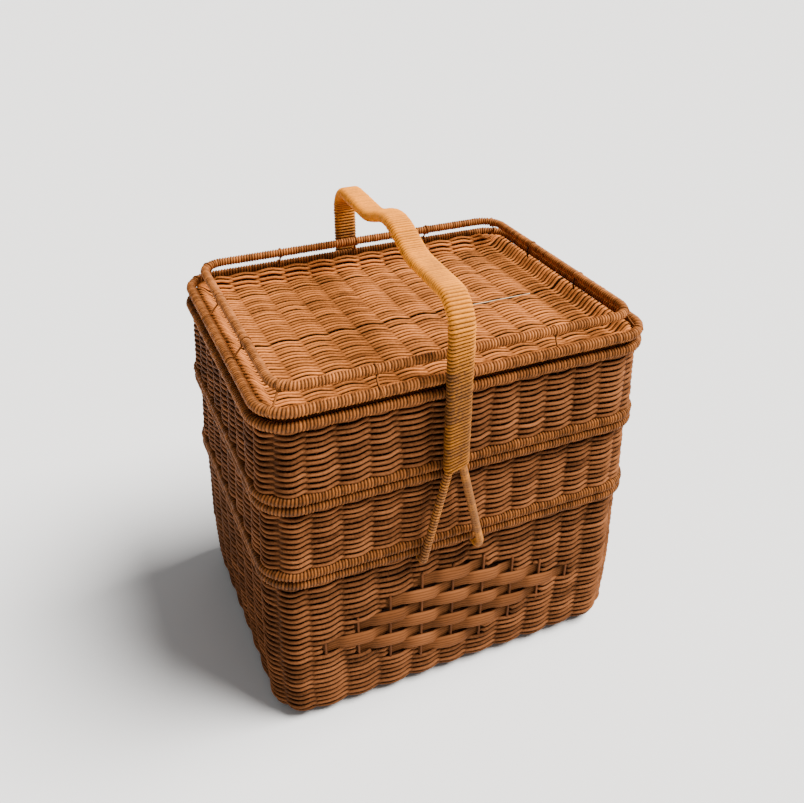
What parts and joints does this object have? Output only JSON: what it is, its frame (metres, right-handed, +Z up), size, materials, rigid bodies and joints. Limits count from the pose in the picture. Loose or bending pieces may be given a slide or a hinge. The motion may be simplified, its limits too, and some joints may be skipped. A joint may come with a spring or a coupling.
{
  "type": "storage basket",
  "caption": "Woven rectangular storage basket with stacking trays on a deep base, a dished lid with a gallery rail, and a wrapped carrying handle.",
  "frame": {"origin": "on the ground, in the middle of the basket's plan", "axes": "+Z up, +X along the long front side, -Y towards the front, which has the band of flat strips"},
  "size_m": [0.4192, 0.3392, 0.4898],
  "materials": {
    "woven_cane": "satin round cane, warm orange brown",
    "rim_binding": "satin wound cane, warm orange brown",
    "handle_binding": "satin wound cane, honey tan",
    "flat_strip": "flat split cane with fine lines along it"
  },
  "bodies": {
    "bottom_basket": {"bottom_wall": "woven_cane", "bottom_floor": "woven_cane", "bottom_rim": "rim_binding", "band_strip_1": "flat_strip", "band_strip_2": "flat_strip", "band_strip_3": "flat_strip", "band_strip_4": "flat_strip", "band_strip_5": "flat_strip", "band_strip_6": "flat_strip", "band_strip_7": "flat_strip", "band_stake_1": "woven_cane", "band_stake_2": "woven_cane", "band_stake_3": "woven_cane", "band_stake_4": "woven_cane", "band_stake_5": "woven_cane", "band_stake_6": "woven_cane", "band_stake_7": "woven_cane", "band_stake_8": "woven_cane", "band_stake_9": "woven_cane", "handle_rod_left": "handle_binding", "handle_rod_right": "handle_binding", "handle_core": "handle_binding", "handle_wrap": "handle_binding"},
    "middle_tray": {"middle_foot_rail": "rim_binding", "middle_floor": "woven_cane", "middle_wall": "woven_cane", "middle_rim": "rim_binding"},
    "upper_tray": {"upper_foot_rail": "rim_binding", "upper_floor": "woven_cane", "upper_wall": "woven_cane", "upper_rim": "rim_binding"},
    "lid": {"lid_panel": "woven_cane", "lid_rim": "rim_binding", "gallery_rail": "rim_binding", "gallery_post_01": "woven_cane", "gallery_post_02": "woven_cane", "gallery_post_03": "woven_cane", "gallery_post_04": "woven_cane", "gallery_post_05": "woven_cane", "gallery_post_06": "woven_cane", "gallery_post_07": "woven_cane", "gallery_post_08": "woven_cane", "gallery_post_09": "woven_cane", "gallery_post_10": "woven_cane", "gallery_post_11": "woven_cane", "gallery_post_12": "woven_cane", "gallery_post_13": "woven_cane", "gallery_post_14": "woven_cane"}
  },
  "joints": [
    {"name": "middle_tray_lift", "type": "slide", "parent": "bottom_basket", "child": "middle_tray", "axis": [0, 0, 1], "range_m": [0, 0.012]},
    {"name": "upper_tray_lift", "type": "slide", "parent": "middle_tray", "child": "upper_tray", "axis": [0, 0, 1], "range_m": [0, 0.012]},
    {"name": "lid_lift", "type": "slide", "parent": "upper_tray", "child": "lid", "axis": [0, 0, 1], "range_m": [0, 0.015]}
  ]
}
